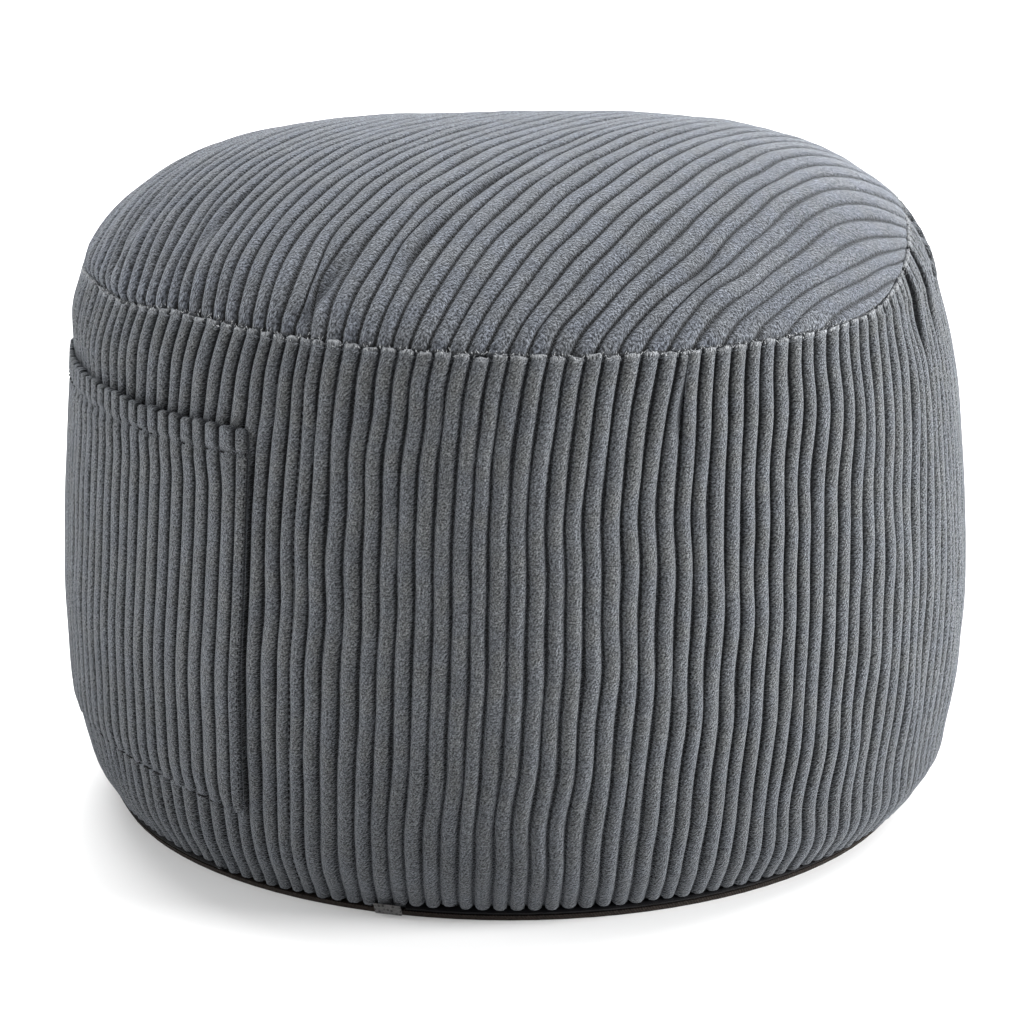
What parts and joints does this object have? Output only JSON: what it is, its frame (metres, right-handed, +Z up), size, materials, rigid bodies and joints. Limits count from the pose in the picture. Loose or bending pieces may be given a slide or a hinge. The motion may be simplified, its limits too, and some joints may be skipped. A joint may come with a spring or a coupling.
{
  "type": "pouf ottoman",
  "caption": "Round filled floor pouf in a dark grey wide-wale corduroy cover, with a domed top, a side patch pocket and a zip round its foot.",
  "frame": {"origin": "centre of the footprint's bounding box, on the floor", "axes": "+Z up; the front, with the foot's zip tab, faces -Y; the pocket is on the -X side"},
  "size_m": [0.4816, 0.4778, 0.3582],
  "materials": {
    "top_corduroy": "wide-wale corduroy pile",
    "side_corduroy": "wide-wale corduroy pile",
    "pocket_corduroy": "wide-wale corduroy pile",
    "base_cloth": "ribbed base cloth",
    "zip_tape": "nylon coil zip on woven tape",
    "tab_cloth": "dotted woven cloth"
  },
  "bodies": {
    "root": {"top_panel": "top_corduroy", "side_panel": "side_corduroy", "pocket": "pocket_corduroy", "base_panel": "base_cloth", "zip": "zip_tape", "zip_tab": "tab_cloth"}
  },
  "joints": []
}
